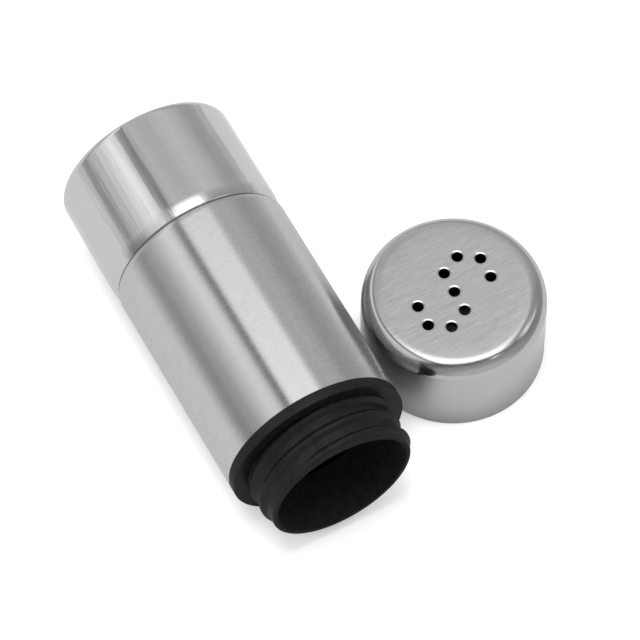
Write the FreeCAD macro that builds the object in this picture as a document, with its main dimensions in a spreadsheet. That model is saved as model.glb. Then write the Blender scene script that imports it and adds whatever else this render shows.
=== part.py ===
import FreeCAD, Part
import Sketcher
import math
import os

# Table spice shaker: a steel container lying on its side with its threaded mouth open,
# and its steel screw cap standing on its rim beside it.
# X runs along the container from its closed end to its mouth, Z is up, the table is at zero,
# and the origin is at the middle of the space that the two take up on the table.
# Lengths are in millimetres and angles in degrees.

DRIVING_SIZES = {
    # Outside of the container
    "body_diameter": 45.3,
    "base_length": 30.0,
    "sleeve_length": 57.4,
    "steel_wall": 0.5,
    # Closed end of the polished base cup
    "base_edge_radius": 2.4,
    "foot_width": 1.7,
    "foot_recess": 1.2,
    "foot_slope": 1.2,
    # Seam between the base cup and the sleeve
    "seam_gap": 0.16,
    "cup_rim_draw": 0.45,
    "cup_rim_length": 3.2,
    "shoulder_draw": 0.5,
    "shoulder_length": 1.6,
    "spigot_length": 6.0,
    "spigot_clearance": 0.05,
    # Inner bottle with its flange and neck
    "bottle_wall": 1.2,
    "bottle_floor": 1.4,
    "bottle_clearance": 0.2,
    "bottle_edge_radius": 2.0,
    "collar_length": 5.0,
    "collar_clearance": 0.05,
    "flange_thickness": 2.6,
    "flange_edge_radius": 0.3,
    "neck_height": 11.7,
    "neck_wall": 1.3,
    "lip_edge_radius": 0.4,
    # Screw thread on the neck
    "thread_pitch": 4.8,
    "thread_depth": 1.05,
    "thread_root_width": 3.0,
    "thread_crest_width": 1.0,
    "thread_end_setback": 0.1,
    "thread_start_angle": 33.0,
    # Steel shell of the cap and its pour holes
    "cap_inset": 0.25,
    "cap_height": 24.9,
    "cap_shoulder_radius": 4.3,
    "hole_diameter": 2.8,
    "hole_spacing": 5.6,
    "hole_turn": 57.0,
    # Threaded liner inside the cap
    "liner_clearance": 0.05,
    "liner_wall": 1.4,
    "liner_skirt_wall": 2.1,
    "liner_setback": 0.3,
    "liner_drum_inset": 0.2,
    "liner_hole_margin": 0.2,
    "thread_clearance": 0.3,
    "liner_thread_root_width": 2.0,
    "liner_thread_crest_width": 0.8,
    "liner_thread_lead_in": 2.4,
    # Seal ring between the lip and the liner
    "seal_thickness": 1.0,
    "seal_overlap": 0.1,
    "seal_edge_clearance": 0.35,
    "seal_running_gap": 0.05,
    # Where the cap stands beside the container
    "cap_gap": 2.95,
    "cap_forward": 39.4,
    # Overrun of a cut or of a joined root past the face that it meets
    "overrun": 0.3,
}


class Size:
    """A length with its value and the text of the expression that binds it to the sheet."""

    def __init__(self, value, text):
        self.value = value
        self.text = text

    def __add__(self, other):
        return Size(self.value + other.value, "(%s + %s)" % (self.text, other.text))

    def __sub__(self, other):
        return Size(self.value - other.value, "(%s - %s)" % (self.text, other.text))

    def __mul__(self, other):
        factor = as_size(other)
        return Size(self.value * factor.value, "(%s * %s)" % (self.text, factor.text))

    def __truediv__(self, other):
        divisor = as_size(other)
        return Size(self.value / divisor.value, "(%s / %s)" % (self.text, divisor.text))


def as_size(number):
    """A plain factor as a Size, so that sizes and factors combine alike."""
    if isinstance(number, Size):
        return number
    return Size(float(number), "(%.9f)" % number)


ZERO = Size(0.0, "0")
HEXAGON_TURN = 60
HOLES_IN_A_RUN = 4


def cosine(angle):
    """The cosine of an angle in degrees."""
    return Size(math.cos(math.radians(angle.value)), "cos(%s * 1 deg)" % angle.text)


def sine(angle):
    """The sine of an angle in degrees."""
    return Size(math.sin(math.radians(angle.value)), "sin(%s * 1 deg)" % angle.text)


doc = FreeCAD.newDocument("SpiceShaker")
sheet = doc.addObject("Spreadsheet::Sheet", "Sizes")
for row, (name, value) in enumerate(DRIVING_SIZES.items(), start=1):
    sheet.set("A%d" % row, name)
    sheet.set("B%d" % row, str(value))
    sheet.setAlias("B%d" % row, name)
doc.recompute()


def size(name):
    """A driving size of the sheet."""
    return Size(DRIVING_SIZES[name], "Sizes.%s" % name)


def tangent_radius(length, rise):
    """Radius of an arc that leaves a straight line and falls by rise over length."""
    return (length * length + rise * rise) / (rise * 2)


# Derived sizes that several pieces share
wall = size("steel_wall")
body_radius = size("body_diameter") / 2
half_gap = size("seam_gap") / 2
cup_rim_x = size("base_length") - half_gap
sleeve_back_x = size("base_length") + half_gap
sleeve_front_x = size("base_length") + size("sleeve_length")
spigot_radius = body_radius - size("cup_rim_draw") - wall - size("spigot_clearance")
cup_floor_x = size("foot_recess") + wall
flange_x = sleeve_front_x + size("flange_thickness")
lip_x = flange_x + size("neck_height")
cap_radius = body_radius - size("cap_inset")
cap_inner_top = size("cap_height") - wall
cap_flat_radius = cap_radius - size("cap_shoulder_radius")
skirt_radius = cap_radius - wall - size("liner_clearance")
liner_bore_radius = skirt_radius - size("liner_skirt_wall")
neck_radius = liner_bore_radius - size("thread_clearance") - size("thread_depth")
mouth_radius = neck_radius - size("neck_wall")
seal_top = size("neck_height") + size("seal_thickness")

# Where the two groups stand: their common box is centred on the origin
container_x = ZERO - lip_x / 2
side_distance = body_radius + size("cap_gap") + cap_radius
container_y = ZERO - (side_distance + cap_radius - body_radius) / 2
cap_x = container_x + size("base_length") + size("cap_forward")
cap_y = container_y + side_distance


def origin_plane(body, role):
    """The body's own origin plane of the given role."""
    for feature in body.Origin.OriginFeatures:
        if feature.Role == role:
            return feature
    raise RuntimeError("no origin plane " + role)


def new_body(label, place, turn=None):
    """An empty body of the given label, placed by three sizes and turned about X."""
    body = doc.addObject("PartDesign::Body", "Body_" + label)
    body.Label = label
    spot = FreeCAD.Vector(place[0].value, place[1].value, place[2].value)
    angle = 0.0 if turn is None else turn.value
    body.Placement = FreeCAD.Placement(spot, FreeCAD.Rotation(FreeCAD.Vector(1, 0, 0), angle))
    for axis, coordinate in zip("xyz", place):
        body.setExpression("Placement.Base." + axis, coordinate.text)
    if turn is not None:
        body.setExpression("Placement.Rotation.Angle", turn.text + " * 1 deg")
    return body


def new_sketch(body, name, role):
    """An empty sketch on one of the body's origin planes."""
    sketch = body.newObject("Sketcher::SketchObject", name)
    sketch.AttachmentSupport = (origin_plane(body, role), [""])
    sketch.MapMode = "FlatFace"
    return sketch


def bind(sketch, constraint, name, length):
    """Add a constraint and bind its value to the sheet."""
    index = sketch.addConstraint(constraint)
    sketch.renameConstraint(index, name)
    sketch.setExpression("Constraints." + name, length.text)


def locate(sketch, geometry, position, name, across, up):
    """Hold a point of the sketch at two sizes from the sketch's origin."""
    if across is ZERO:
        sketch.addConstraint(Sketcher.Constraint("PointOnObject", geometry, position, -2))
    else:
        distance = Sketcher.Constraint("DistanceX", -1, 1, geometry, position, across.value)
        bind(sketch, distance, "across_" + name, across)
    if up is ZERO:
        sketch.addConstraint(Sketcher.Constraint("PointOnObject", geometry, position, -1))
    else:
        distance = Sketcher.Constraint("DistanceY", -1, 1, geometry, position, up.value)
        bind(sketch, distance, "up_" + name, up)


def arc_between(first, last, radius, centre_on_left):
    """The short arc of the given radius between two points, drawn anticlockwise."""
    chord = last - first
    toward_centre = FreeCAD.Vector(-chord.y, chord.x, 0).normalize()
    if not centre_on_left:
        toward_centre = toward_centre * -1
        first, last = last, first
    rise = math.sqrt(max(radius**2 - (chord.Length / 2) ** 2, 0))
    centre = (first + last) * 0.5 + toward_centre * rise
    start = math.atan2(first.y - centre.y, first.x - centre.x)
    end = math.atan2(last.y - centre.y, last.x - centre.x)
    if end < start:
        end += 2 * math.pi
    return Part.ArcOfCircle(Part.Circle(centre, FreeCAD.Vector(0, 0, 1), radius), start, end)


def draw_outline(sketch, corners, arcs=None):
    """Draw a closed outline of named corners, where arcs gives each curved side's radius.

    A side is named after the corner that it leaves, and a curved side also says whether its
    centre lies on its left.
    """
    arcs = arcs or {}
    count = len(corners)
    points = [FreeCAD.Vector(across.value, up.value, 0) for name, across, up in corners]
    ends = []
    for number, (name, across, up) in enumerate(corners):
        first = points[number]
        last = points[(number + 1) % count]
        if name in arcs:
            radius, centre_on_left = arcs[name]
            side = arc_between(first, last, radius.value, centre_on_left)
        else:
            side = Part.LineSegment(first, last)
        geometry = sketch.addGeometry(side, False)
        drawn_start = sketch.Geometry[geometry].StartPoint
        forward = drawn_start.distanceToPoint(first) < drawn_start.distanceToPoint(last)
        ends.append((geometry, 1 if forward else 2, 2 if forward else 1))
    for number, (name, across, up) in enumerate(corners):
        geometry, start, end = ends[number]
        after, after_start, after_end = ends[(number + 1) % count]
        sketch.addConstraint(Sketcher.Constraint("Coincident", geometry, end, after, after_start))
    for number, (name, across, up) in enumerate(corners):
        geometry, start, end = ends[number]
        locate(sketch, geometry, start, name, across, up)
        if name in arcs:
            radius, centre_on_left = arcs[name]
            bind(sketch, Sketcher.Constraint("Radius", geometry, radius.value), "radius_" + name, radius)


def revolve(body, name, sketch, axis):
    """Turn the sketch once round one of its own axes."""
    feature = body.newObject("PartDesign::Revolution", name)
    feature.Profile = sketch
    feature.ReferenceAxis = (sketch, [axis])
    feature.Angle = 360
    sketch.Visibility = False
    return feature


def add_thread(body, sketch, axis, length):
    """Sweep the ridge's section along a right-handed helix of the given length."""
    pitch = size("thread_pitch")
    turns = length / pitch
    feature = body.newObject("PartDesign::AdditiveHelix", "Thread")
    feature.Profile = sketch
    feature.ReferenceAxis = (sketch, [axis])
    feature.Mode = "pitch-turns-angle"
    feature.Pitch = pitch.value
    feature.Turns = turns.value
    feature.setExpression("Pitch", pitch.text)
    feature.setExpression("Turns", turns.text)
    feature.LeftHanded = False
    feature.Reversed = False
    return feature


def pour_hole_centres():
    """Centres of the pour holes: the middle one, and two mirrored runs round a hexagon's corners."""
    centres = [("middle", ZERO, ZERO)]
    first = size("hole_turn") + as_size(HEXAGON_TURN)
    for side, sign in (("near", 1), ("far", -1)):
        for corner in range(HOLES_IN_A_RUN):
            second = size("hole_turn") + as_size(HEXAGON_TURN * corner)
            across = size("hole_spacing") * (cosine(first) + cosine(second)) * sign
            up = size("hole_spacing") * (sine(first) + sine(second)) * sign
            centres.append(("%s_%d" % (side, corner), across, up))
    return centres


def cut_pour_holes(body, radius, top, depth):
    """Cut the pour holes down through the top of the body."""
    sketch = new_sketch(body, "PourHoleSketch", "XY_Plane")
    sketch.setExpression("AttachmentOffset.Base.z", top.text)
    for name, across, up in pour_hole_centres():
        centre = FreeCAD.Vector(across.value, up.value, 0)
        circle = Part.Circle(centre, FreeCAD.Vector(0, 0, 1), radius.value)
        geometry = sketch.addGeometry(circle, False)
        if across is ZERO:
            sketch.addConstraint(Sketcher.Constraint("Coincident", geometry, 3, -1, 1))
        else:
            locate(sketch, geometry, 3, name, across, up)
        bind(sketch, Sketcher.Constraint("Radius", geometry, radius.value), "radius_" + name, radius)
    doc.recompute()
    solid_before = body.Shape.Volume
    pocket = body.newObject("PartDesign::Pocket", "PourHoles")
    pocket.Profile = sketch
    pocket.Type = "Length"
    pocket.Length = depth.value
    pocket.setExpression("Length", depth.text)
    doc.recompute()
    if body.Shape.Volume >= solid_before:
        raise RuntimeError("the pour holes cut nothing from " + body.Label)


container_place = (container_x, container_y, body_radius)
cap_place = (cap_x, cap_y, ZERO)


def make_base_cup():
    """Polished cup at the closed end, with a recessed floor and a drawn-in rim."""
    body = new_body("base_cup", container_place)
    edge = size("base_edge_radius")
    foot_inner = body_radius - edge - size("foot_width")
    floor_edge = foot_inner - size("foot_slope")
    rim_radius = tangent_radius(size("cup_rim_length"), size("cup_rim_draw"))
    rim_start = cup_rim_x - size("cup_rim_length")
    rim_outer = body_radius - size("cup_rim_draw")
    corners = [
        ("floor_centre", size("foot_recess"), ZERO),
        ("floor_edge", size("foot_recess"), floor_edge),
        ("foot_inner", ZERO, foot_inner),
        ("foot_outer", ZERO, body_radius - edge),
        ("side_start", edge, body_radius),
        ("rim_start", rim_start, body_radius),
        ("rim_outer", cup_rim_x, rim_outer),
        ("rim_inner", cup_rim_x, rim_outer - wall),
        ("inside_end", rim_start, body_radius - wall),
        ("inside_start", edge, body_radius - wall),
        ("inside_foot", wall, body_radius - edge),
        ("inside_foot_inner", wall, foot_inner),
        ("inside_floor_edge", cup_floor_x, floor_edge),
        ("inside_centre", cup_floor_x, ZERO),
    ]
    arcs = {
        "foot_outer": (edge, False),
        "rim_start": (rim_radius, False),
        "rim_inner": (rim_radius, True),
        "inside_start": (edge - wall, True),
    }
    sketch = new_sketch(body, "CupSection", "XY_Plane")
    draw_outline(sketch, corners, arcs)
    revolve(body, "Cup", sketch, "H_Axis")
    return body


def make_body_sleeve():
    """Brushed sleeve with a rounded shoulder and a spigot that fits inside the base cup."""
    body = new_body("body_sleeve", container_place)
    shoulder_radius = tangent_radius(size("shoulder_length"), size("shoulder_draw"))
    shoulder_end = sleeve_back_x + size("shoulder_length")
    spigot_end = size("base_length") - size("spigot_length")
    corners = [
        ("spigot_inner", spigot_end, spigot_radius - wall),
        ("spigot_outer", spigot_end, spigot_radius),
        ("spigot_root", sleeve_back_x, spigot_radius),
        ("shoulder_start", sleeve_back_x, body_radius - size("shoulder_draw")),
        ("shoulder_end", shoulder_end, body_radius),
        ("front_outer", sleeve_front_x, body_radius),
        ("front_inner", sleeve_front_x, body_radius - wall),
        ("inside_end", shoulder_end + wall, body_radius - wall),
        ("inside_root", sleeve_back_x + wall, spigot_radius - wall),
    ]
    arcs = {"shoulder_start": (shoulder_radius, False)}
    sketch = new_sketch(body, "SleeveSection", "XY_Plane")
    draw_outline(sketch, corners, arcs)
    revolve(body, "Sleeve", sketch, "H_Axis")
    return body


def make_inner_bottle():
    """Black bottle inside the steel: its flange seats on the sleeve, its neck is threaded."""
    body = new_body("inner_bottle", container_place, size("thread_start_angle"))
    bottle_radius = spigot_radius - wall - size("bottle_clearance")
    inside_radius = bottle_radius - size("bottle_wall")
    edge = size("bottle_edge_radius")
    inside_edge = edge - size("bottle_wall")
    floor_x = cup_floor_x + size("bottle_floor")
    collar_x = sleeve_front_x - size("collar_length")
    collar_radius = body_radius - wall - size("collar_clearance")
    flange_edge = size("flange_edge_radius")
    lip_edge = size("lip_edge_radius")
    corners = [
        ("bottom_centre", cup_floor_x, ZERO),
        ("bottom_edge", cup_floor_x, bottle_radius - edge),
        ("side_start", cup_floor_x + edge, bottle_radius),
        ("collar_root", collar_x, bottle_radius),
        ("collar_outer", collar_x, collar_radius),
        ("flange_root", sleeve_front_x, collar_radius),
        ("flange_back", sleeve_front_x, body_radius),
        ("flange_rim", flange_x - flange_edge, body_radius),
        ("flange_front", flange_x, body_radius - flange_edge),
        ("neck_root", flange_x, neck_radius),
        ("lip_outer", lip_x - lip_edge, neck_radius),
        ("lip_face", lip_x, neck_radius - lip_edge),
        ("lip_inner", lip_x, mouth_radius + lip_edge),
        ("mouth", lip_x - lip_edge, mouth_radius),
        ("mouth_end", sleeve_front_x, mouth_radius),
        ("inside_shoulder", sleeve_front_x - (inside_radius - mouth_radius), inside_radius),
        ("inside_start", floor_x + inside_edge, inside_radius),
        ("inside_floor_edge", floor_x, inside_radius - inside_edge),
        ("inside_centre", floor_x, ZERO),
    ]
    arcs = {
        "bottom_edge": (edge, False),
        "flange_rim": (flange_edge, False),
        "lip_outer": (lip_edge, False),
        "lip_inner": (lip_edge, False),
        "inside_start": (inside_edge, True),
    }
    sketch = new_sketch(body, "BottleSection", "XY_Plane")
    draw_outline(sketch, corners, arcs)
    revolve(body, "Bottle", sketch, "H_Axis")
    half_root = size("thread_root_width") / 2
    half_crest = size("thread_crest_width") / 2
    crest_radius = neck_radius + size("thread_depth")
    root_radius = neck_radius - size("overrun")
    ridge = [
        ("root_back", flange_x - half_root, root_radius),
        ("crest_back", flange_x - half_crest, crest_radius),
        ("crest_front", flange_x + half_crest, crest_radius),
        ("root_front", flange_x + half_root, root_radius),
    ]
    ridge_sketch = new_sketch(body, "ThreadSection", "XY_Plane")
    draw_outline(ridge_sketch, ridge)
    thread_end_x = lip_x - half_root - size("thread_end_setback")
    add_thread(body, ridge_sketch, "H_Axis", thread_end_x - flange_x)
    return body


def make_cap_shell():
    """Steel shell of the cap: flat top, rounded shoulder and the pour holes."""
    body = new_body("cap_shell", cap_place)
    shoulder = size("cap_shoulder_radius")
    shoulder_z = size("cap_height") - shoulder
    corners = [
        ("rim_inner", cap_radius - wall, ZERO),
        ("rim_outer", cap_radius, ZERO),
        ("shoulder_start", cap_radius, shoulder_z),
        ("top_edge", cap_flat_radius, size("cap_height")),
        ("top_centre", ZERO, size("cap_height")),
        ("under_centre", ZERO, cap_inner_top),
        ("under_edge", cap_flat_radius, cap_inner_top),
        ("inside_shoulder", cap_radius - wall, shoulder_z),
    ]
    arcs = {
        "shoulder_start": (shoulder, True),
        "under_edge": (shoulder - wall, False),
    }
    sketch = new_sketch(body, "ShellSection", "XZ_Plane")
    draw_outline(sketch, corners, arcs)
    revolve(body, "Shell", sketch, "V_Axis")
    cut_pour_holes(body, size("hole_diameter") / 2, size("cap_height"), wall + size("overrun"))
    return body


def make_cap_liner():
    """Black liner pressed into the shell: threaded skirt, seat for the seal, and holed drum."""
    body = new_body("cap_liner", cap_place)
    drum_radius = cap_flat_radius - size("liner_drum_inset")
    drum_inner = drum_radius - size("liner_wall")
    seat_z = seal_top + size("seal_running_gap")
    corners = [
        ("skirt_inner", liner_bore_radius, size("liner_setback")),
        ("skirt_outer", skirt_radius, size("liner_setback")),
        ("ledge_outer", skirt_radius, seat_z + size("liner_wall")),
        ("drum_root", drum_radius, seat_z + size("liner_wall")),
        ("drum_top", drum_radius, cap_inner_top),
        ("top_centre", ZERO, cap_inner_top),
        ("under_centre", ZERO, cap_inner_top - size("liner_wall")),
        ("drum_inside", drum_inner, cap_inner_top - size("liner_wall")),
        ("seat_inner", drum_inner, seat_z),
        ("seat_outer", liner_bore_radius, seat_z),
    ]
    sketch = new_sketch(body, "LinerSection", "XZ_Plane")
    draw_outline(sketch, corners)
    revolve(body, "Liner", sketch, "V_Axis")
    start_z = size("liner_setback") + size("liner_thread_lead_in")
    half_root = size("liner_thread_root_width") / 2
    half_crest = size("liner_thread_crest_width") / 2
    crest_radius = liner_bore_radius - size("thread_depth")
    root_radius = liner_bore_radius + size("overrun")
    ridge = [
        ("root_low", root_radius, start_z - half_root),
        ("root_high", root_radius, start_z + half_root),
        ("crest_high", crest_radius, start_z + half_crest),
        ("crest_low", crest_radius, start_z - half_crest),
    ]
    ridge_sketch = new_sketch(body, "ThreadSection", "XZ_Plane")
    draw_outline(ridge_sketch, ridge)
    thread_end = size("neck_height") - half_root - size("thread_end_setback")
    add_thread(body, ridge_sketch, "V_Axis", thread_end - start_z)
    hole_radius = size("hole_diameter") / 2 + size("liner_hole_margin")
    cut_pour_holes(body, hole_radius, cap_inner_top, size("liner_wall") + size("overrun"))
    return body


def make_cap_seal():
    """Flat seal ring under the liner's seat, which the lip of the neck closes against."""
    body = new_body("cap_seal", cap_place)
    inner_radius = mouth_radius - size("seal_overlap")
    outer_radius = liner_bore_radius - size("seal_edge_clearance")
    corners = [
        ("low_inner", inner_radius, size("neck_height")),
        ("low_outer", outer_radius, size("neck_height")),
        ("high_outer", outer_radius, seal_top),
        ("high_inner", inner_radius, seal_top),
    ]
    sketch = new_sketch(body, "SealSection", "XZ_Plane")
    draw_outline(sketch, corners)
    revolve(body, "Seal", sketch, "V_Axis")
    return body


bodies = [
    make_base_cup(),
    make_body_sleeve(),
    make_inner_bottle(),
    make_cap_shell(),
    make_cap_liner(),
    make_cap_seal(),
]
doc.recompute()

for item in doc.Objects:
    if "Invalid" in item.State or "Error" in item.State:
        raise RuntimeError("%s failed: %s" % (item.Label, item.State))
for body in bodies:
    if body.Shape.isNull() or not body.Shape.isValid():
        raise RuntimeError(body.Label + " has no valid shape")
    if len(body.Shape.Solids) != 1:
        raise RuntimeError("%s has %d solids" % (body.Label, len(body.Shape.Solids)))

os.makedirs("parts", exist_ok=True)
for body in bodies:
    body.Shape.exportStep("parts/%s.step" % body.Label)
    box = body.Shape.BoundBox
    print(
        "%-13s volume %9.2f  x %7.2f %7.2f  y %7.2f %7.2f  z %6.2f %6.2f"
        % (body.Label, body.Shape.Volume, box.XMin, box.XMax, box.YMin, box.YMax, box.ZMin, box.ZMax)
    )
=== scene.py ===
import math

import bmesh
import bpy
from mathutils import Matrix, Vector
from mathutils.geometry import delaunay_2d_cdt


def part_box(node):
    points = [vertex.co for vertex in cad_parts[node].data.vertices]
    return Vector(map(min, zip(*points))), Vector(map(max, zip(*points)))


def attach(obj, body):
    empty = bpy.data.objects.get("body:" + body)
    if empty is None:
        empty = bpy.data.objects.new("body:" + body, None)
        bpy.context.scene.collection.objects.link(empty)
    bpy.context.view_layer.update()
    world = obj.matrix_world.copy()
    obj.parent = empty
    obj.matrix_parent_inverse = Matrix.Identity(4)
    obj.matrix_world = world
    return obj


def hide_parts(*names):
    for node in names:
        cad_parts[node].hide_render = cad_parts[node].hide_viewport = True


# The CAD model's own box, and the places of its pieces

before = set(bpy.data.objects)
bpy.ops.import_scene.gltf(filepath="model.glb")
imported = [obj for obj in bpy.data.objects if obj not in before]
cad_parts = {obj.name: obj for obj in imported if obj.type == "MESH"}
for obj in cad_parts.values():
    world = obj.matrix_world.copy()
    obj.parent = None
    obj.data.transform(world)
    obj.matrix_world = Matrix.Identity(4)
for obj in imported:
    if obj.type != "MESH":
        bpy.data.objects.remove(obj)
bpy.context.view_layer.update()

MM = 0.001
TURN = 2 * math.pi
TINY = 1e-9

cup_low, cup_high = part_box("base_cup")
sleeve_low, sleeve_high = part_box("body_sleeve")
bottle_low, bottle_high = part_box("inner_bottle")
shell_low, shell_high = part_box("cap_shell")
liner_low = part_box("cap_liner")[0]
seal_low, seal_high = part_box("cap_seal")

# Sizes of the container, along its axis from the closed end

BODY_RADIUS = (cup_high.z - cup_low.z) / 2
CONTAINER_ORIGIN = Vector((cup_low.x, (cup_low.y + cup_high.y) / 2, BODY_RADIUS))
CUP_RIM = cup_high.x - cup_low.x
SLEEVE_SPIGOT = sleeve_low.x - cup_low.x
SLEEVE_FRONT = sleeve_high.x - cup_low.x
LIP = bottle_high.x - cup_low.x
BOTTLE_BOTTOM = bottle_low.x - cup_low.x
STEEL_WALL = 0.5 * MM
SEAM_GAP = 0.26 * MM
BASE_EDGE = 2.4 * MM
FOOT_WIDTH = 1.7 * MM
FOOT_RECESS = 1.2 * MM
FOOT_SLOPE = 1.2 * MM
FOOT_ROUNDING = 0.5 * MM
FOOT_OUTER_ROUNDING = 0.75 * MM
CUP_RIM_DRAW = 0.45 * MM
CUP_RIM_LENGTH = 3.2 * MM
CUP_RIM_CURVE = 1.6
SHOULDER_DRAW = 0.5 * MM
SHOULDER_LENGTH = 1.6 * MM
SPIGOT_CLEARANCE = 0.05 * MM
SHEET_EDGE = 0.12 * MM
BOTTLE_WALL = 1.2 * MM
BOTTLE_FLOOR = 1.4 * MM
BOTTLE_CLEARANCE = 0.2 * MM
BOTTLE_EDGE = 2.0 * MM
COLLAR_LENGTH = 5.0 * MM
FLANGE_THICKNESS = 2.6 * MM
FLANGE_EDGE = 0.25 * MM
FLANGE_BACK_EDGE = 0.12 * MM
NECK_FILLET = 0.5 * MM
NECK_RADIUS = 18.4 * MM
MOUTH_RADIUS = 17.1 * MM
LIP_EDGE = 0.4 * MM
LIP_INNER_EDGE = 0.12 * MM

# The screw thread of the neck and of the cap's liner

THREAD_PITCH = 4.8 * MM
THREAD_DEPTH = 1.05 * MM
THREAD_ROOT = 3.1 * MM
THREAD_CREST = 0.5 * MM
THREAD_TURNS = 2.17
THREAD_START = math.radians(33)
THREAD_FADE_TURNS = 0.1
THREAD_ROW = 0.07 * MM
LINER_THREAD_ROOT = 2.0 * MM
LINER_THREAD_CREST = 0.6 * MM
LINER_THREAD_LEAD_IN = 2.4 * MM
LINER_THREAD_TURNS = 1.6

# Sizes of the cap, up its axis from its rim

CAP_RADIUS = (shell_high.x - shell_low.x) / 2
CAP_ORIGIN = Vector(((shell_low.x + shell_high.x) / 2, (shell_low.y + shell_high.y) / 2, shell_low.z))
CAP_HEIGHT = shell_high.z - shell_low.z
CAP_SHOULDER = 4.3 * MM
CAP_BRUSHED_RADIUS = 19.6 * MM
CAP_CROWN_START = 14.0 * MM
CAP_CROWN_WIDTH = 4.0 * MM
CAP_CROWN_DROP = 0.05 * MM
HOLE_RADIUS = 1.4 * MM
HOLE_CONE_WIDTH = 0.34 * MM
HOLE_CONE_DEPTH = 0.1 * MM
HOLE_CONE_LIP = 0.15
HOLE_SPACING = 5.6 * MM
HOLE_TURN = math.radians(57)
HOLE_STEPS = 40
GUARD = 0.12 * MM
LINER_LOW = liner_low.z - shell_low.z
LINER_WALL = 1.4 * MM
LINER_CLEARANCE = 0.05 * MM
LINER_BORE = 19.75 * MM
LINER_DRUM_INSET = 0.2 * MM
LINER_HOLE_MARGIN = 0.2 * MM
LINER_EDGE = 0.25 * MM
SEAL_RUNNING_GAP = 0.05 * MM
SEAL_OVERLAP = 0.1 * MM
SEAL_EDGE = 0.15 * MM

# Fineness of the meshes, and the size of one tile of their maps

SEGMENTS = 320
DRAWN_STEPS = 12
CROWN_STEPS = 12
ARC_STEPS_PER_RADIAN = 4
ARC_STEPS_PER_LENGTH = 2 / MM
LEAST_ARC_STEPS = 3
SHARP_ANGLE = math.radians(40)
MAP_TILE = 100 * MM


# Outlines of turned pieces: lists of (along the axis, radius) points

def rounded(corners):
    """The outline through (along, radius, rounding) corners, with an arc at each rounded one."""
    outline = []
    count = len(corners)
    for number, (along, radius, rounding) in enumerate(corners):
        corner = Vector((along, radius))
        if rounding == 0:
            outline.append((along, radius))
            continue
        before = (Vector(corners[number - 1][:2]) - corner).normalized()
        after = (Vector(corners[(number + 1) % count][:2]) - corner).normalized()
        half = before.angle(after) / 2
        centre = corner + (before + after).normalized() * rounding / math.sin(half)
        spoke = corner + before * rounding / math.tan(half) - centre
        sweep = math.pi - 2 * half
        if before.cross(after) > 0:
            sweep = -sweep
        steps = round(abs(sweep) * ARC_STEPS_PER_RADIAN + rounding * ARC_STEPS_PER_LENGTH)
        steps = max(LEAST_ARC_STEPS, steps)
        for step in range(steps + 1):
            point = centre + Matrix.Rotation(sweep * step / steps, 2) @ spoke
            outline.append(tuple(point))
    return outline


def drawn_in(start, end, radius, draw, curve=2):
    """Points of a side that leaves radius at start and has fallen by draw at end."""
    points = []
    for step in range(DRAWN_STEPS + 1):
        share = step / DRAWN_STEPS
        points.append((start + (end - start) * share, radius - draw * share**curve))
    return points


def ring_point(along, radius, angle, upright):
    """A point of a turned piece, about Z if it stands upright and about X if it lies."""
    across = radius * math.cos(angle)
    over = radius * math.sin(angle)
    return Vector((across, over, along)) if upright else Vector((along, across, over))


def add_turned(mesh, outline, upright, relief=None, closed=True):
    """Turn an outline about its axis and return its rings of vertices.

    The relief is added to the radius, and a closed outline is joined from its end to its start.
    """
    layer = mesh.loops.layers.uv.new("Turned")
    rings = []
    lengths = [0.0]
    for number, (along, radius) in enumerate(outline):
        if number:
            lengths.append(lengths[-1] + math.dist(outline[number], outline[number - 1]))
        if radius < TINY:
            rings.append([mesh.verts.new(ring_point(along, 0, 0, upright))])
            continue
        ring = []
        for segment in range(SEGMENTS):
            angle = TURN * segment / SEGMENTS
            extra = relief(along, radius, angle) if relief else 0
            ring.append(mesh.verts.new(ring_point(along, radius + extra, angle, upright)))
        rings.append(ring)
    pairs = list(zip(range(len(rings)), range(1, len(rings))))
    if closed:
        pairs.append((len(rings) - 1, 0))
    for low, high in pairs:
        if len(rings[low]) == 1 and len(rings[high]) == 1:
            continue
        ends = [lengths[low], lengths[low] + math.dist(outline[low], outline[high])]
        for segment in range(SEGMENTS):
            after = (segment + 1) % SEGMENTS
            spots = [(low, segment, 0), (low, after, 1), (high, after, 1), (high, segment, 0)]
            corners = []
            for ring, index, step in spots:
                one = len(rings[ring]) == 1
                vertex = rings[ring][0 if one else index]
                turned = segment + (0.5 if one else step)
                place = (ends[0] if ring == low else ends[1], turned / SEGMENTS)
                if not corners or vertex not in [corner[0] for corner in corners]:
                    corners.append((vertex, place))
            face = mesh.faces.new([corner[0] for corner in corners])
            for loop, (vertex, place) in zip(face.loops, corners):
                loop[layer].uv = (place[0] / MAP_TILE, place[1])
    return rings


def fill_flat(mesh, rim, holes):
    """Fill the flat space inside a ring of vertices, but for the rings of its holes."""
    vertices = []
    owners = []
    edges = []
    for owner, ring in enumerate([rim] + holes):
        start = len(vertices)
        count = len(ring)
        vertices.extend(ring)
        owners.extend([owner] * count)
        edges.extend((start + step, start + (step + 1) % count) for step in range(count))
    flat = [vertex.co.xy for vertex in vertices]
    triangles_inside = 1
    result = delaunay_2d_cdt(flat, edges, [], triangles_inside, TINY)
    sources = [found[0] for found in result[3]]
    for triangle in result[2]:
        corners = [sources[index] for index in triangle]
        touched = {owners[corner] for corner in corners}
        if len(touched) > 1 or touched == {0}:
            mesh.faces.new([vertices[corner] for corner in corners])


def hole_centres():
    """The middle pour hole, and two mirrored runs round a hexagon's corners."""
    centres = [Vector((0, 0))]
    for sign in (1, -1):
        for corner in range(4):
            first = HOLE_TURN + TURN / 6
            second = HOLE_TURN + TURN / 6 * corner
            across = math.cos(first) + math.cos(second)
            over = math.sin(first) + math.sin(second)
            centres.append(Vector((across, over)) * HOLE_SPACING * sign)
    return centres


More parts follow.
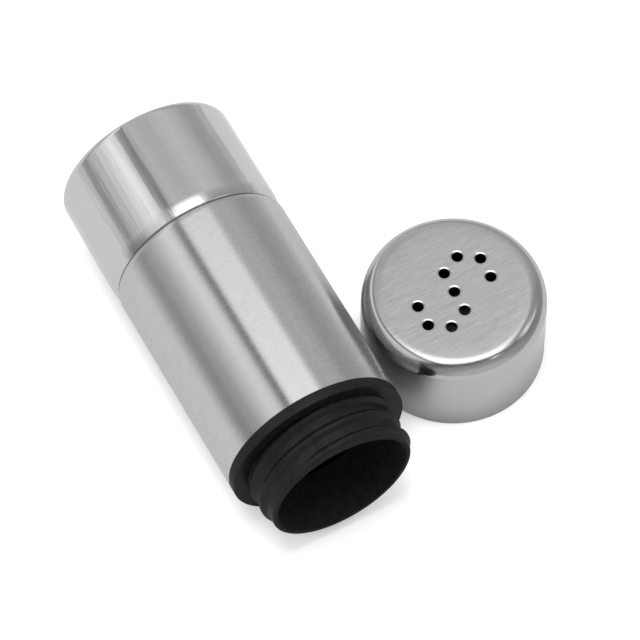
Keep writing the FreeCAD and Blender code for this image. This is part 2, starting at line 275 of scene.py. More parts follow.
def add_holes(mesh, top, bottom, radius):
    """The walls of the pour holes, coned at the top, and their rings on each flat face."""
    section = [
        (top, radius + HOLE_CONE_WIDTH + GUARD),
        (top, radius + HOLE_CONE_WIDTH),
        (top - HOLE_CONE_DEPTH * HOLE_CONE_LIP, radius + HOLE_CONE_WIDTH * (1 - HOLE_CONE_LIP)),
        (top - HOLE_CONE_DEPTH, radius),
        (bottom, radius),
        (bottom, radius + GUARD),
    ]
    upper = []
    lower = []
    for centre in hole_centres():
        rings = []
        for height, reach in section:
            ring = []
            for step in range(HOLE_STEPS):
                angle = TURN * step / HOLE_STEPS
                spot = (centre.x + reach * math.cos(angle), centre.y + reach * math.sin(angle), height)
                ring.append(mesh.verts.new(spot))
            rings.append(ring)
        for one, two in zip(rings, rings[1:]):
            for step in range(HOLE_STEPS):
                after = (step + 1) % HOLE_STEPS
                mesh.faces.new((one[step], one[after], two[after], two[step]))
        upper.append(rings[0])
        lower.append(rings[-1])
    return upper, lower


def ridge_height(offset, root, crest):
    """Share of the thread's depth at an offset along the axis from the ridge's middle."""
    share = (abs(offset) - crest / 2) / (root / 2 - crest / 2)
    share = min(max(share, 0), 1)
    return 1 - share * share * (3 - 2 * share)


def thread_height(along, angle, first, start_angle, turns, root, crest):
    """Height of a right-handed ridge that starts at first and fades out at both ends."""
    height = 0.0
    part = ((angle - start_angle) / TURN) % 1
    for whole in range(-1, math.ceil(turns) + 1):
        turned = part + whole
        if not -THREAD_FADE_TURNS < turned < turns + THREAD_FADE_TURNS:
            continue
        inside = min(turned + THREAD_FADE_TURNS, turns + THREAD_FADE_TURNS - turned) / THREAD_FADE_TURNS
        fade = min(inside, 1)
        fade = fade * fade * (3 - 2 * fade)
        offset = along - first - THREAD_PITCH * turned
        height = max(height, fade * ridge_height(offset, root, crest))
    return height * THREAD_DEPTH


def piece(name, mesh, origin, nodes, body, materials):
    """Make the finished mesh an object that rides on a body and stands for its CAD node."""
    bmesh.ops.recalc_face_normals(mesh, faces=mesh.faces)
    data = bpy.data.meshes.new(name)
    mesh.to_mesh(data)
    mesh.free()
    data.shade_smooth()
    data.set_sharp_from_angle(angle=SHARP_ANGLE)
    for material in materials:
        data.materials.append(material)
    made = bpy.data.objects.new(name, data)
    bpy.context.scene.collection.objects.link(made)
    made.location = origin
    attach(made, body)
    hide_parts(*nodes)


# Nodes of the materials

def add_node(tree, kind, inputs=None, **settings):
    """A node with its settings, and with each input set to a value or linked to a socket."""
    made = tree.nodes.new(kind)
    for name, value in settings.items():
        setattr(made, name, value)
    for key, value in (inputs or {}).items():
        if isinstance(value, bpy.types.NodeSocket):
            tree.links.new(value, made.inputs[key])
        else:
            made.inputs[key].default_value = value
    return made


def streaks(tree, turn, scale, detail=4.0, roughness=0.6):
    """Noise in the piece's own space, turned about Z and drawn out by the scale of each axis."""
    place = add_node(tree, "ShaderNodeTexCoord").outputs["Object"]
    turned = add_node(tree, "ShaderNodeMapping", {"Vector": place, "Rotation": (0, 0, turn)})
    drawn = add_node(tree, "ShaderNodeMapping", {"Vector": turned.outputs[0], "Scale": scale})
    noise = add_node(
        tree,
        "ShaderNodeTexNoise",
        {"Vector": drawn.outputs[0], "Scale": 1.0, "Detail": detail, "Roughness": roughness},
    )
    return noise.outputs[0]


def between(tree, factor, low, high, from_low=0.3, from_high=0.7):
    """A factor mapped to lie between two values."""
    mapped = add_node(
        tree,
        "ShaderNodeMapRange",
        {"Value": factor, "From Min": from_low, "From Max": from_high, "To Min": low, "To Max": high},
    )
    return mapped.outputs[0]


def soft_step(tree, value, start, end):
    """A smooth rise from nought at start to one at end."""
    node = add_node(
        tree,
        "ShaderNodeMapRange",
        {"Value": value, "From Min": start, "From Max": end, "To Min": 0.0, "To Max": 1.0},
        interpolation_type="SMOOTHSTEP",
    )
    return node.outputs[0]


def math_node(tree, operation, first, second):
    """The result of one sum on two values or sockets."""
    return add_node(tree, "ShaderNodeMath", {0: first, 1: second}, operation=operation).outputs[0]


def blended(tree, first, second, share=0.5):
    """The sum of two factors, weighted by the second one's share."""
    return add_node(tree, "ShaderNodeMix", {0: share, 2: first, 3: second}, data_type="FLOAT").outputs[0]


def scaled(tree, colour, share):
    """A colour times a share."""
    return add_node(tree, "ShaderNodeVectorMath", {0: colour, 3: share}, operation="SCALE").outputs[0]


def tinted(tree, colour, factor, low, high):
    """A colour darkened and lightened by a factor."""
    return scaled(tree, colour, between(tree, factor, low, high))


def new_material(name):
    """A new node material, its tree and its shader."""
    made = bpy.data.materials.new(name)
    made.use_nodes = True
    return made, made.node_tree, made.node_tree.nodes["Principled BSDF"]


def spread(value, shares):
    """A value times each of two shares."""
    return [value * share for share in shares]


def link(tree, source, shader, key):
    """Link a socket to one of the shader's inputs."""
    tree.links.new(source, shader.inputs[key])


def bumped(tree, height, depth, normal=None):
    """The surface's normal, bumped by a height of the given depth in metres."""
    inputs = {"Height": height, "Distance": depth}
    if normal is not None:
        inputs["Normal"] = normal
    return add_node(tree, "ShaderNodeBump", inputs).outputs[0]


def polished_steel(name, colour, roughness, scale, bump_depth, wave, wave_depth, worn_from=None):
    """Bright rolled steel with faint polishing lines and a slightly wavy face.

    Past worn_from, along the piece's own X, it is rougher and speckled.
    """
    made, tree, shader = new_material(name)
    lines = streaks(tree, 0, scale)
    cloud = streaks(tree, 0, CLOUD_SCALE, detail=3.0)
    specks = streaks(tree, 0, SPECK_SCALE, detail=3.0, roughness=0.7)
    both = blended(tree, lines, cloud)
    gloss = between(tree, both, *spread(roughness, POLISH_GLOSS))
    normal = bumped(tree, streaks(tree, 0, wave, detail=2.0), wave_depth)
    normal = bumped(tree, lines, bump_depth, normal)
    if worn_from is not None:
        place = add_node(tree, "ShaderNodeTexCoord").outputs["Object"]
        along = add_node(tree, "ShaderNodeSeparateXYZ", {0: place}).outputs["X"]
        worn = soft_step(tree, along, worn_from, worn_from + WEAR_FADE)
        gloss = math_node(tree, "ADD", gloss, math_node(tree, "MULTIPLY", worn, WEAR_ROUGHNESS))
        normal = bumped(tree, math_node(tree, "MULTIPLY", worn, specks), WEAR_DEPTH, normal)
    link(tree, tinted(tree, colour, blended(tree, both, specks), *POLISH_TINT), shader, "Base Color")
    link(tree, gloss, shader, "Roughness")
    link(tree, normal, shader, "Normal")
    shader.inputs["Metallic"].default_value = 1.0
    shader.inputs["Specular Tint"].default_value = STEEL_EDGE
    return made


def brushed_steel(name, colour, roughness, anisotropy, turn, fine, broad, contrast, bump_depth, uv_map):
    """Steel brushed one way: fine lines, broader bands of them and a drawn-out gloss."""
    made, tree, shader = new_material(name)
    fine_lines = streaks(tree, turn, fine, detail=4.0, roughness=0.65)
    broad_lines = streaks(tree, turn, broad, detail=3.0)
    both = blended(tree, fine_lines, broad_lines, BROAD_SHARE)
    link(tree, tinted(tree, colour, both, 1 - contrast, 1 + contrast), shader, "Base Color")
    link(tree, between(tree, both, *spread(roughness, BRUSH_GLOSS)), shader, "Roughness")
    link(tree, bumped(tree, fine_lines, bump_depth), shader, "Normal")
    shader.inputs["Metallic"].default_value = 1.0
    shader.inputs["Specular Tint"].default_value = STEEL_EDGE
    shader.inputs["Anisotropic"].default_value = anisotropy
    tangent = add_node(tree, "ShaderNodeTangent", direction_type="UV_MAP", uv_map=uv_map)
    link(tree, tangent.outputs[0], shader, "Tangent")
    return made


def moulded_plastic(name, colour, roughness, grain_depth, specular, tint):
    """Black moulded plastic with a fine grain and faint rub marks.

    A tint above one lifts its gloss head on, but not at a glancing angle.
    """
    made, tree, shader = new_material(name)
    grain = streaks(tree, 0, GRAIN_SCALE, detail=4.0, roughness=0.7)
    rubs = streaks(tree, RUB_TURN, RUB_SCALE, detail=5.0, roughness=0.75)
    link(tree, tinted(tree, colour, rubs, *RUB_TINT), shader, "Base Color")
    link(tree, between(tree, rubs, *spread(roughness, RUB_GLOSS)), shader, "Roughness")
    link(tree, bumped(tree, grain, grain_depth), shader, "Normal")
    shader.inputs["Specular IOR Level"].default_value = specular
    shader.inputs["Specular Tint"].default_value = (tint, tint, tint, 1)
    return made


# Colours and finishes

STEEL_POLISHED = (0.5, 0.5, 0.5)
STEEL_BRUSHED = (0.49, 0.49, 0.49)
# Near-black steel for the spigot and the seam's back face: painted shade in the seam's groove
SPIGOT_PAINTED_SHADE = (0.05, 0.05, 0.05)
STEEL_EDGE = (0.85, 0.85, 0.85, 1)
STEEL_CAP = (0.43, 0.43, 0.43)
STEEL_CAP_TOP = (0.41, 0.41, 0.41)
PLASTIC_BLACK = (0.0115, 0.0112, 0.011)
# A lighter copy of the black plastic for the inside of the mouth and the lip: painted light on the
# shaded inside
PLASTIC_INSIDE_PAINTED_LIGHT = (0.02, 0.02, 0.02)
RUBBER_BLACK = (0.03, 0.029, 0.028)

# How fine the noise is, and the shares of roughness and colour that it moves between

CLOUD_SCALE = (180, 180, 180)
SPECK_SCALE = (2600, 2600, 2600)
GRAIN_SCALE = (1300, 900, 900)
RUB_SCALE = (420, 560, 560)
RUB_TURN = 0.4
BROAD_SHARE = 0.2
POLISH_GLOSS = (0.75, 1.35)
POLISH_TINT = (0.93, 1.07)
BRUSH_GLOSS = (0.85, 1.2)
RUB_GLOSS = (0.75, 1.25)
RUB_TINT = (0.6, 1.6)

CAP_BRUSH_TURN = math.radians(-92)
WEAR_LENGTH = 4.4 * MM
WEAR_FADE = 1.6 * MM
WEAR_ROUGHNESS = 0.09
WEAR_DEPTH = 0.012 * MM

base_steel = polished_steel(
    "base_polished",
    STEEL_POLISHED,
    roughness=0.09,
    scale=(45, 1500, 1500),
    bump_depth=0.02 * MM,
    wave=(30, 300, 300),
    wave_depth=0.08 * MM,
    worn_from=CUP_RIM - WEAR_LENGTH,
)
sleeve_steel = brushed_steel(
    "sleeve_brushed",
    STEEL_BRUSHED,
    roughness=0.28,
    anisotropy=1.0,
    turn=0,
    fine=(4000, 400, 400),
    broad=(1100, 90, 90),
    contrast=0.13,
    bump_depth=0.0012 * MM,
    uv_map="Turned",
)
# The spigot: near-black steel, painted shade for the dark groove of the seam
spigot_painted_shade = polished_steel(
    "spigot_painted_shade",
    SPIGOT_PAINTED_SHADE,
    roughness=0.5,
    scale=(900, 900, 900),
    bump_depth=0.01 * MM,
    wave=(300, 300, 300),
    wave_depth=0.01 * MM,
)
cap_top_steel = brushed_steel(
    "cap_top_brushed",
    STEEL_CAP_TOP,
    roughness=0.19,
    anisotropy=0.75,
    turn=CAP_BRUSH_TURN,
    fine=(240, 4200, 240),
    broad=(90, 900, 90),
    contrast=0.13,
    bump_depth=0.0005 * MM,
    uv_map="Flat",
)
cap_side_steel = polished_steel(
    "cap_polished",
    STEEL_CAP,
    roughness=0.17,
    scale=(900, 900, 60),
    bump_depth=0.0004 * MM,
    wave=(120, 120, 30),
    wave_depth=0.002 * MM,
)
moulded = {"roughness": 0.36, "grain_depth": 0.05 * MM, "specular": 0.01, "tint": 20.0}
bottle_plastic = moulded_plastic("bottle_plastic", PLASTIC_BLACK, **moulded)
# Inside of the mouth and the lip's face: a lighter, rougher copy of the black plastic; its lighter
# colour is painted light that lifts the shaded inside
bottle_inside_painted_light = moulded_plastic(
    "bottle_inside_painted_light",
    PLASTIC_INSIDE_PAINTED_LIGHT,
    roughness=0.9,
    grain_depth=0.01 * MM,
    specular=0.05,
    tint=1.0,
)
liner_plastic = moulded_plastic("liner_plastic", PLASTIC_BLACK, **moulded)
seal_rubber = moulded_plastic(
    "seal_rubber",
    RUBBER_BLACK,
    roughness=0.7,
    grain_depth=0.02 * MM,
    specular=0.2,
    tint=1.0,
)


# The container's pieces

def make_base_cup():
    """Polished cup with a recessed foot and a rim that is drawn in at the seam."""
    foot_inner = BODY_RADIUS - BASE_EDGE - FOOT_WIDTH
    floor_edge = foot_inner - FOOT_SLOPE
    rim_start = CUP_RIM - CUP_RIM_LENGTH
    outline = rounded([
        (FOOT_RECESS, 0, 0),
        (FOOT_RECESS, floor_edge, FOOT_OUTER_ROUNDING),
        (0, foot_inner, FOOT_ROUNDING),
        (0, BODY_RADIUS, BASE_EDGE),
        (rim_start, BODY_RADIUS, 0),
    ])[:-1]
    outline += drawn_in(rim_start, CUP_RIM - SHEET_EDGE, BODY_RADIUS, CUP_RIM_DRAW, CUP_RIM_CURVE)
    inside = BODY_RADIUS - STEEL_WALL
    outline += [
        (CUP_RIM, BODY_RADIUS - CUP_RIM_DRAW - SHEET_EDGE),
        (CUP_RIM, inside - CUP_RIM_DRAW + SHEET_EDGE),
    ]
    outline += drawn_in(rim_start, CUP_RIM - SHEET_EDGE, inside, CUP_RIM_DRAW, CUP_RIM_CURVE)[::-1]
    outline += rounded([
        (rim_start, inside, 0),
        (STEEL_WALL, inside, BASE_EDGE - STEEL_WALL),
        (STEEL_WALL, foot_inner, FOOT_OUTER_ROUNDING),
        (FOOT_RECESS + STEEL_WALL, floor_edge, FOOT_ROUNDING),
        (FOOT_RECESS + STEEL_WALL, 0, 0),
    ])[1:]
    mesh = bmesh.new()
    add_turned(mesh, outline, upright=False)
    piece(
        "base_cup_shell",
        mesh,
        CONTAINER_ORIGIN,
        ["base_cup"],
        "container",
        [base_steel],
    )


def make_body_sleeve():
    """Brushed sleeve with a rounded shoulder, and a spigot inside the base cup; the spigot is painted
    near-black as shade in the seam.
    """
    back = CUP_RIM + SEAM_GAP
    shoulder_end = back + SHOULDER_LENGTH
    spigot = BODY_RADIUS - CUP_RIM_DRAW - STEEL_WALL - SPIGOT_CLEARANCE
    outline = rounded([
        (SLEEVE_SPIGOT, spigot - STEEL_WALL, SHEET_EDGE),
        (SLEEVE_SPIGOT, spigot, SHEET_EDGE),
        (back, spigot, 0),
        (back, BODY_RADIUS - SHOULDER_DRAW * 2, 0),
    ])
    outline += drawn_in(shoulder_end, back, BODY_RADIUS, SHOULDER_DRAW)[::-1]
    outline += rounded([
        (shoulder_end, BODY_RADIUS, 0),
        (SLEEVE_FRONT, BODY_RADIUS, SHEET_EDGE),
        (SLEEVE_FRONT, BODY_RADIUS - STEEL_WALL, SHEET_EDGE),
        (shoulder_end + STEEL_WALL, BODY_RADIUS - STEEL_WALL, 0),
        (back + STEEL_WALL, spigot - STEEL_WALL, 0),
    ])[1:]
    mesh = bmesh.new()
    add_turned(mesh, outline, upright=False)
    # Faces at the seam and on the spigot get the near-black steel: painted shade in the groove
    for face in mesh.faces:
        face.material_index = 1 if face.calc_center_median().x < back + TINY else 0
    piece(
        "body_sleeve_shell",
        mesh,
        CONTAINER_ORIGIN,
        ["body_sleeve"],
        "container",
        [sleeve_steel, spigot_painted_shade],
    )


def make_inner_bottle():
    """Black bottle whose flange, threaded neck and mouth show."""
    flange = SLEEVE_FRONT + FLANGE_THICKNESS
    outer = BODY_RADIUS - CUP_RIM_DRAW - STEEL_WALL * 2 - SPIGOT_CLEARANCE - BOTTLE_CLEARANCE
    inner = outer - BOTTLE_WALL
    collar = BODY_RADIUS - STEEL_WALL - SPIGOT_CLEARANCE
    outline = rounded([
        (BOTTLE_BOTTOM, 0, 0),
        (BOTTLE_BOTTOM, outer, BOTTLE_EDGE),
        (SLEEVE_FRONT - COLLAR_LENGTH, outer, 0),
        (SLEEVE_FRONT - COLLAR_LENGTH, collar, SHEET_EDGE),
        (SLEEVE_FRONT, collar, 0),
        (SLEEVE_FRONT, BODY_RADIUS, FLANGE_BACK_EDGE),
        (flange, BODY_RADIUS, FLANGE_EDGE),
        (flange, NECK_RADIUS, NECK_FILLET),
        (LIP, NECK_RADIUS, 0),
    ])[:-1]
    row = outline[-1][0] + THREAD_ROW
    while row < LIP - LIP_EDGE - THREAD_ROW / 2:
        outline.append((row, NECK_RADIUS))
        row += THREAD_ROW
    outline += rounded([
        (flange, NECK_RADIUS, 0),
        (LIP, NECK_RADIUS, LIP_EDGE),
        (LIP, MOUTH_RADIUS, LIP_INNER_EDGE),
        (SLEEVE_FRONT, MOUTH_RADIUS, 0),
        (SLEEVE_FRONT - (inner - MOUTH_RADIUS), inner, 0),
        (BOTTLE_BOTTOM + BOTTLE_FLOOR, inner, BOTTLE_EDGE - BOTTLE_WALL),
        (BOTTLE_BOTTOM + BOTTLE_FLOOR, 0, 0),
    ])[1:]
    lip_middle = (NECK_RADIUS + MOUTH_RADIUS) / 2

    def ridge(along, radius, angle):
        if along < flange or radius < lip_middle:
            return 0
        height = thread_height(
            along, angle, flange, THREAD_START, THREAD_TURNS, THREAD_ROOT, THREAD_CREST
        )
        return max(0, height - max(0, radius - NECK_RADIUS))

    mesh = bmesh.new()
    add_turned(mesh, outline, upright=False, relief=ridge)
    # Faces inside the mouth and on the lip get the lighter plastic: painted light on the shaded inside
    for face in mesh.faces:
        centre = face.calc_center_median()
        reach = NECK_RADIUS - LIP_EDGE if centre.x > SLEEVE_FRONT else inner + BOTTLE_WALL / 2
        inside = centre.x > BOTTLE_BOTTOM + TINY and centre.yz.length < reach
        face.material_index = 1 if inside else 0
    piece(
        "inner_bottle_body",
        mesh,
        CONTAINER_ORIGIN,
        ["inner_bottle"],
        "container",
        [bottle_plastic, bottle_inside_painted_light],
    )


# The cap's pieces

def lay_flat_map(mesh, turn):
    """A second map whose first direction lies across the brush lines of a flat top."""
    layer = mesh.loops.layers.uv.new("Flat")
    across = Vector((math.cos(turn), math.sin(turn)))
    along = Vector((-math.sin(turn), math.cos(turn)))
    for face in mesh.faces:
        for loop in face.loops:
            spot = loop.vert.co.xy
            loop[layer].uv = (spot.dot(across) / MAP_TILE, spot.dot(along) / MAP_TILE)


def crown_drop(height, radius):
    """How far the edge of the cap's top falls away before and round its shoulder."""
    if height < CAP_HEIGHT - CAP_SHOULDER:
        return 0
    share = max(0, radius - CAP_CROWN_START) / CAP_CROWN_WIDTH
    return CAP_CROWN_DROP * share * share


def make_cap_shell():
    """Steel shell of the cap, brushed on top and polished round its shoulder and side."""
    flat = CAP_RADIUS - CAP_SHOULDER
    top = CAP_HEIGHT
    under = CAP_HEIGHT - STEEL_WALL
    crown_step = (flat - CAP_CROWN_START) / CROWN_STEPS
    outline = [(top, CAP_CROWN_START + crown_step * step) for step in range(CROWN_STEPS)]
    outline += rounded([
        (top, 0, 0),
        (top, CAP_RADIUS, CAP_SHOULDER),
        (0, CAP_RADIUS, 0),
    ])[1:-1]
    outline = [(height - crown_drop(height, radius), radius) for height, radius in outline]
    outline += rounded([
        (top, CAP_RADIUS, 0),
        (0, CAP_RADIUS, SHEET_EDGE),
        (0, CAP_RADIUS - STEEL_WALL, SHEET_EDGE),
        (under, CAP_RADIUS - STEEL_WALL, CAP_SHOULDER - STEEL_WALL),
        (under, 0, 0),
    ])[1:-1]
    outline += [(under, flat - GUARD)]
    mesh = bmesh.new()
    rings = add_turned(mesh, outline, upright=True, closed=False)
    upper, lower = add_holes(mesh, top, under, HOLE_RADIUS)
    fill_flat(mesh, rings[0], upper)
    fill_flat(mesh, rings[-1], lower)
    lay_flat_map(mesh, CAP_BRUSH_TURN + math.pi / 2)
    centres = hole_centres()
    cone_radius = HOLE_RADIUS + HOLE_CONE_WIDTH
    for face in mesh.faces:
        centre = face.calc_center_median()
        outside = centre.z > CAP_HEIGHT - CAP_SHOULDER and face_is_outside(centre)
        in_hole = min((centre.xy - middle).length for middle in centres) < cone_radius
        brushed = outside and not in_hole and centre.xy.length < CAP_BRUSHED_RADIUS
        face.material_index = 0 if brushed else 1
    piece(
        "cap_shell_body",
        mesh,
        CAP_ORIGIN,
        ["cap_shell"],
        "cap",
        [cap_top_steel, cap_side_steel],
    )


def face_is_outside(centre):
    """Whether a point of the cap's shell lies on its outer skin."""
    flat = CAP_RADIUS - CAP_SHOULDER
    reach = centre.xy.length
    if reach < flat:
        return centre.z > CAP_HEIGHT - STEEL_WALL / 2
    bend = Vector((reach - flat, centre.z - (CAP_HEIGHT - CAP_SHOULDER)))
    return bend.length > CAP_SHOULDER - STEEL_WALL / 2


def make_cap_liner():
    """Black liner inside the shell: a threaded skirt and a drum with the holes."""
    skirt = CAP_RADIUS - STEEL_WALL - LINER_CLEARANCE
    drum = CAP_RADIUS - CAP_SHOULDER - LINER_DRUM_INSET
    drum_inner = drum - LINER_WALL
    top = CAP_HEIGHT - STEEL_WALL
    under = top - LINER_WALL
    seat = seal_high.z - shell_low.z + SEAL_RUNNING_GAP
    outline = [(top, drum - LINER_EDGE - GUARD)]
    outline += rounded([
        (top, 0, 0),
        (top, drum, LINER_EDGE),
        (seat + LINER_WALL, drum, LINER_EDGE),
        (seat + LINER_WALL, skirt, LINER_EDGE),
        (LINER_LOW, skirt, LINER_EDGE),
        (LINER_LOW, LINER_BORE, LINER_EDGE),
        (seat, LINER_BORE, 0),
    ])[1:-1]
    row = outline[-1][0] + THREAD_ROW
    while row < seat - THREAD_ROW / 2:
        outline.append((row, LINER_BORE))
        row += THREAD_ROW
    outline += rounded([
        (LINER_LOW, LINER_BORE, 0),
        (seat, LINER_BORE, 0),
        (seat, drum_inner, LINER_EDGE),
        (under, drum_inner, LINER_EDGE),
        (under, 0, 0),
    ])[1:-1]
    outline += [(under, drum_inner - LINER_EDGE - GUARD)]
    first = LINER_LOW + LINER_THREAD_LEAD_IN

    def ridge(along, radius, angle):
        if abs(radius - LINER_BORE) > TINY:
            return 0
        return -thread_height(
            along, angle, first, 0, LINER_THREAD_TURNS, LINER_THREAD_ROOT, LINER_THREAD_CREST
        )

    mesh = bmesh.new()
    rings = add_turned(mesh, outline, upright=True, relief=ridge, closed=False)
    upper, lower = add_holes(mesh, top, under, HOLE_RADIUS + LINER_HOLE_MARGIN)
    fill_flat(mesh, rings[0], upper)
    fill_flat(mesh, rings[-1], lower)
    piece(
        "cap_liner_body",
        mesh,
        CAP_ORIGIN,
        ["cap_liner"],
        "cap",
        [liner_plastic],
    )


def make_cap_seal():
    """Flat seal ring under the liner's seat."""
    low = seal_low.z - shell_low.z
    high = seal_high.z - shell_low.z
    outer = (seal_high.x - seal_low.x) / 2
    inner = MOUTH_RADIUS - SEAL_OVERLAP
    outline = rounded([
        (low, inner, SEAL_EDGE),
        (low, outer, SEAL_EDGE),
        (high, outer, SEAL_EDGE),
        (high, inner, SEAL_EDGE),
    ])
    mesh = bmesh.new()
    add_turned(mesh, outline, upright=True)
    piece(
        "cap_seal_ring",
        mesh,
        CAP_ORIGIN,
        ["cap_seal"],
        "seal_ring",
        [seal_rubber],
    )


make_base_cup()
make_body_sleeve()
make_inner_bottle()
make_cap_shell()
make_cap_liner()
make_cap_seal()


# The studio: a pale floor and a surrounding light, in five zones along X

# Each zone: (angle about X from straight up towards -Y, level) stops of its light
BACK_LIGHT = [
    (-106, 0.98), (-90, 0.76), (-80, 0.62), (-68, 0.60), (-48, 0.84), (-34, 0.92),
    (-22, 0.86), (-10, 0.77), (8, 0.86), (14, 0.76), (19, 0.36), (21, 0.36),
    (26, 0.66), (32, 1.36), (42, 1.62), (47, 1.25), (50, 1.38), (55, 0.94),
    (58, 1.20), (63, 0.82), (69, 0.92), (74, 0.78), (77, 0.54), (86, 0.48),
    (88, 0.88), (92, 0.90),
]
ROOF_LIGHT = [
    (-106, 0.98), (-90, 0.50), (-34, 0.50), (-24.5, 0.75), (-18.5, 3.05), (14.5, 3.15),
    (17.5, 0.16), (22.5, 0.16), (28, 1.35), (42, 1.20), (52, 0.95), (62, 0.46),
    (74, 0.36), (87, 0.24), (92, 0.85),
]
FRONT_LIGHT = [(-90, 0.50), (-40, 0.30), (0, 0.20), (40, 0.16), (60, 0.08), (90, 0.08)]
RIM_LIGHT = 0.56
HORIZON_LIGHT = 0.86

# Where each zone past the first comes in, as the X of the direction
ZONE_EDGES = ((-0.42, -0.10), (0.16, 0.30), (0.40, 0.64), (0.74, 0.92))

# Small bright lights: (direction, half-width in degrees, level)
GLINTS = [
    ((0.47, 0.26, 0.84), 2.6, 3.0),
    ((0.27, 0.67, 0.69), 5.0, 1.2),
    ((0.15, 0.60, 0.79), 3.5, 2.2),
    ((0.12, 0.76, 0.64), 4.5, 1.2),
]

# The shares of its half-width between which a glint comes in
GLINT_FADE = (1.4, 0.6)

# The highest level that a zone can have, and the angle that its stops reach to either side
LIGHT_SCALE = 4.0
LIGHT_SPAN = math.radians(108)

# The floor, and the shares of open sky between which its lift and its paint come in; where less sky is
# open, both fade to painted shade
FLOOR_SIZE = 0.6
FLOOR_COLOUR = (0.45, 0.45, 0.45)
FLOOR_LIFT = 0.58
FLOOR_LIFT_REFLECTED = 0.30
FLOOR_SUN = 2.8
FLOOR_SUN_WIDTH = math.radians(24)
FLOOR_SUN_LEAN = (math.radians(6), math.radians(-4), 0)
FLOOR_PAINTED_SHADE_REACH = 0.05
FLOOR_PAINTED_SHADE_SEEN = (0.1, 0.5)
FLOOR_PAINTED_SHADE_REFLECTED = (0.27, 0.62)
FLOOR_PAINTED_SHADE_COLOUR = (0.0, 0.12)


def light_by_angle(tree, angle, stops):
    """The level of one zone's light at an angle about X."""
    place = between(tree, angle, 0.0, 1.0, -LIGHT_SPAN, LIGHT_SPAN)
    ramp = add_node(tree, "ShaderNodeValToRGB", {0: place})
    elements = ramp.color_ramp.elements
    while len(elements) < len(stops):
        elements.new(0.5)
    for element, (degrees, level) in zip(elements, stops):
        element.position = (math.radians(degrees) / LIGHT_SPAN + 1) / 2
        share = level / LIGHT_SCALE
        element.color = (share, share, share, 1)
    return math_node(tree, "MULTIPLY", ramp.outputs[0], LIGHT_SCALE)


def light_studio():
    """A world of soft stripes that the steel reflects, and white where the camera sees it."""
    world = bpy.data.worlds.new("studio")
    bpy.context.scene.world = world
    world.use_nodes = True
    tree = world.node_tree
    tree.nodes.clear()
    direction = add_node(tree, "ShaderNodeTexCoord").outputs["Generated"]
    parts = add_node(tree, "ShaderNodeSeparateXYZ", {0: direction})
    toward = math_node(tree, "MULTIPLY", parts.outputs["Y"], -1.0)
    angle = math_node(tree, "ARCTAN2", toward, parts.outputs["Z"])
    level = light_by_angle(tree, angle, BACK_LIGHT)
    zones = [
        light_by_angle(tree, angle, ROOF_LIGHT),
        light_by_angle(tree, angle, FRONT_LIGHT),
        RIM_LIGHT,
        HORIZON_LIGHT,
    ]
    for (near, far), zone in zip(ZONE_EDGES, zones):
        share = soft_step(tree, parts.outputs["X"], near, far)
        level = blended(tree, level, zone, share)
    for aim, width, glint in GLINTS:
        both = {0: direction, 1: Vector(aim).normalized()}
        near = add_node(tree, "ShaderNodeVectorMath", both, operation="DOT_PRODUCT").outputs["Value"]
        start, end = (math.cos(math.radians(degrees)) for degrees in spread(width, GLINT_FADE))
        share = soft_step(tree, near, start, end)
        level = math_node(tree, "ADD", level, math_node(tree, "MULTIPLY", share, glint))
    seen = add_node(tree, "ShaderNodeLightPath").outputs["Is Camera Ray"]
    shown = blended(tree, level, 1.0, seen)
    background = add_node(tree, "ShaderNodeBackground", {"Color": (1, 1, 1, 1), "Strength": shown})
    add_node(tree, "ShaderNodeOutputWorld", {"Surface": background.outputs[0]})


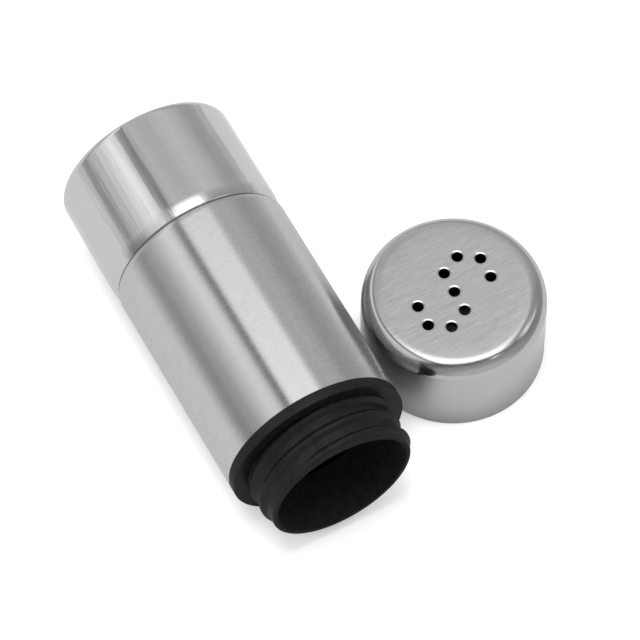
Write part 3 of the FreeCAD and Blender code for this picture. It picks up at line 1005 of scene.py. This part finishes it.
def lay_floor():
    """A white floor that keeps the object's shadow, and has painted shade: its paint and glow fade to
    dark where the object closes it in.
    """
    mesh = bmesh.new()
    half = FLOOR_SIZE / 2
    corners = ((-half, -half), (half, -half), (half, half), (-half, half))
    mesh.faces.new([mesh.verts.new((x, y, 0)) for x, y in corners])
    data = bpy.data.meshes.new("floor")
    mesh.to_mesh(data)
    mesh.free()
    floor = bpy.data.objects.new("floor", data)
    bpy.context.scene.collection.objects.link(floor)
    made = bpy.data.materials.new("floor")
    made.use_nodes = True
    tree = made.node_tree
    tree.nodes.clear()
    path = add_node(tree, "ShaderNodeLightPath")
    # The floor's glow and paint fade with the open sky: painted shade in crevices, holes and under the
    # object
    room = add_node(tree, "ShaderNodeAmbientOcclusion", {"Distance": FLOOR_PAINTED_SHADE_REACH}).outputs["AO"]
    seen = math_node(tree, "MULTIPLY", path.outputs["Is Camera Ray"], FLOOR_LIFT)
    seen = math_node(tree, "MULTIPLY", seen, soft_step(tree, room, *FLOOR_PAINTED_SHADE_SEEN))
    indirect = (path.outputs["Is Glossy Ray"], path.outputs["Is Transmission Ray"])
    reflected = math_node(tree, "MAXIMUM", *indirect)
    reflected = math_node(tree, "MULTIPLY", reflected, FLOOR_LIFT_REFLECTED)
    reflected = math_node(tree, "MULTIPLY", reflected, soft_step(tree, room, *FLOOR_PAINTED_SHADE_REFLECTED))
    lift = math_node(tree, "ADD", seen, reflected)
    # The floor's colour darkens where the sky is closed in: painted shade
    unshaded_share = soft_step(tree, room, *FLOOR_PAINTED_SHADE_COLOUR)
    paint = add_node(tree, "ShaderNodeBsdfDiffuse", {"Color": scaled(tree, FLOOR_COLOUR, unshaded_share)})
    glow = add_node(tree, "ShaderNodeEmission", {"Strength": lift})
    both = add_node(tree, "ShaderNodeAddShader", {0: paint.outputs[0], 1: glow.outputs[0]})
    add_node(tree, "ShaderNodeOutputMaterial", {"Surface": both.outputs[0]})
    data.materials.append(made)
    light_floor(floor)


def light_floor(floor):
    """A soft light from above that falls on the floor alone, for the shadow on it."""
    data = bpy.data.lights.new("floor_light", "SUN")
    data.energy = FLOOR_SUN
    data.angle = FLOOR_SUN_WIDTH
    light = bpy.data.objects.new("floor_light", data)
    light.rotation_euler = FLOOR_SUN_LEAN
    bpy.context.scene.collection.objects.link(light)
    lit = bpy.data.collections.new("lit_by_floor_light")
    lit.objects.link(floor)
    light.light_linking.receiver_collection = lit


def place_camera():
    """A long lens that looks down on the object, as the photograph does."""
    target = Vector((-2.29, -1.185, 0)) * MM
    azimuth = math.radians(61.65)
    elevation = math.radians(60.42)
    distance = 1220.8 * MM
    focal_pixels = 5000
    picture_pixels = 640
    clip_reach = 20
    back = Vector((
        math.sin(azimuth) * math.cos(elevation),
        -math.cos(azimuth) * math.cos(elevation),
        math.sin(elevation),
    ))
    data = bpy.data.cameras.new("camera")
    data.sensor_width = 36
    data.lens = focal_pixels / picture_pixels * data.sensor_width
    data.clip_start = distance / clip_reach
    data.clip_end = distance * clip_reach
    camera = bpy.data.objects.new("camera", data)
    bpy.context.scene.collection.objects.link(camera)
    camera.location = target + back * distance
    camera.rotation_euler = (-back).to_track_quat("-Z", "Y").to_euler()
    bpy.context.scene.camera = camera


light_studio()
lay_floor()
place_camera()
bpy.context.scene.view_settings.view_transform = "Standard"
